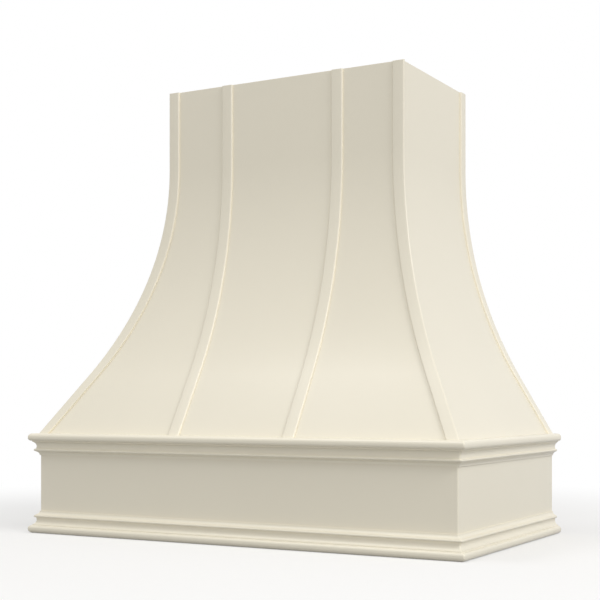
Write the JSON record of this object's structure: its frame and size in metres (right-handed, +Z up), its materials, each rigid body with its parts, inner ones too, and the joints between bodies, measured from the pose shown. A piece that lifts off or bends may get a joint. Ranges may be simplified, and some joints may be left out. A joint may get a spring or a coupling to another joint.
{
  "type": "range hood cover",
  "caption": "Wall-mounted wooden range hood cover: straight chimney flaring in a concave curve to a boxed apron with mouldings, flat straps over curved panels, open inside.",
  "frame": {"origin": "on the plane of the apron's bottom edge, under the middle of the hood's overall width and depth", "axes": "+X to the right as seen from the room, +Y to the wall, -Y to the room, +Z up"},
  "size_m": [1.1112, 0.6072, 1.0668],
  "materials": {
    "cream_paint": "satin lacquer, antique white",
    "plywood": "bare sanded plywood",
    "poplar": "bare planed poplar"
  },
  "bodies": {
    "root": {"front_panel": "cream_paint", "left_side_panel": "cream_paint", "right_side_panel": "cream_paint", "left_inner_strap": "cream_paint", "right_inner_strap": "cream_paint", "left_corner_strap": "cream_paint", "right_corner_strap": "cream_paint", "left_rear_strap": "cream_paint", "right_rear_strap": "cream_paint", "apron_front": "cream_paint", "apron_left": "cream_paint", "apron_right": "cream_paint", "top_moulding_front": "cream_paint", "top_moulding_left": "cream_paint", "top_moulding_right": "cream_paint", "bottom_moulding_front": "cream_paint", "bottom_moulding_left": "cream_paint", "bottom_moulding_right": "cream_paint", "left_front_rib": "plywood", "right_front_rib": "plywood", "left_side_rib": "plywood", "right_side_rib": "plywood", "left_rear_rib": "plywood", "right_rear_rib": "plywood", "left_hip_rib": "plywood", "right_hip_rib": "plywood", "liner_ledge_front": "plywood", "liner_ledge_rear": "plywood", "liner_ledge_left": "plywood", "liner_ledge_right": "plywood", "deck_front": "plywood", "deck_rear": "plywood", "deck_left": "plywood", "deck_right": "plywood", "top_frame_front": "plywood", "top_frame_rear": "plywood", "top_frame_left": "plywood", "top_frame_right": "plywood", "upper_wall_rail": "poplar", "lower_wall_rail": "poplar", "left_front_block": "poplar", "right_front_block": "poplar", "left_rear_block": "poplar", "right_rear_block": "poplar"}
  },
  "joints": []
}
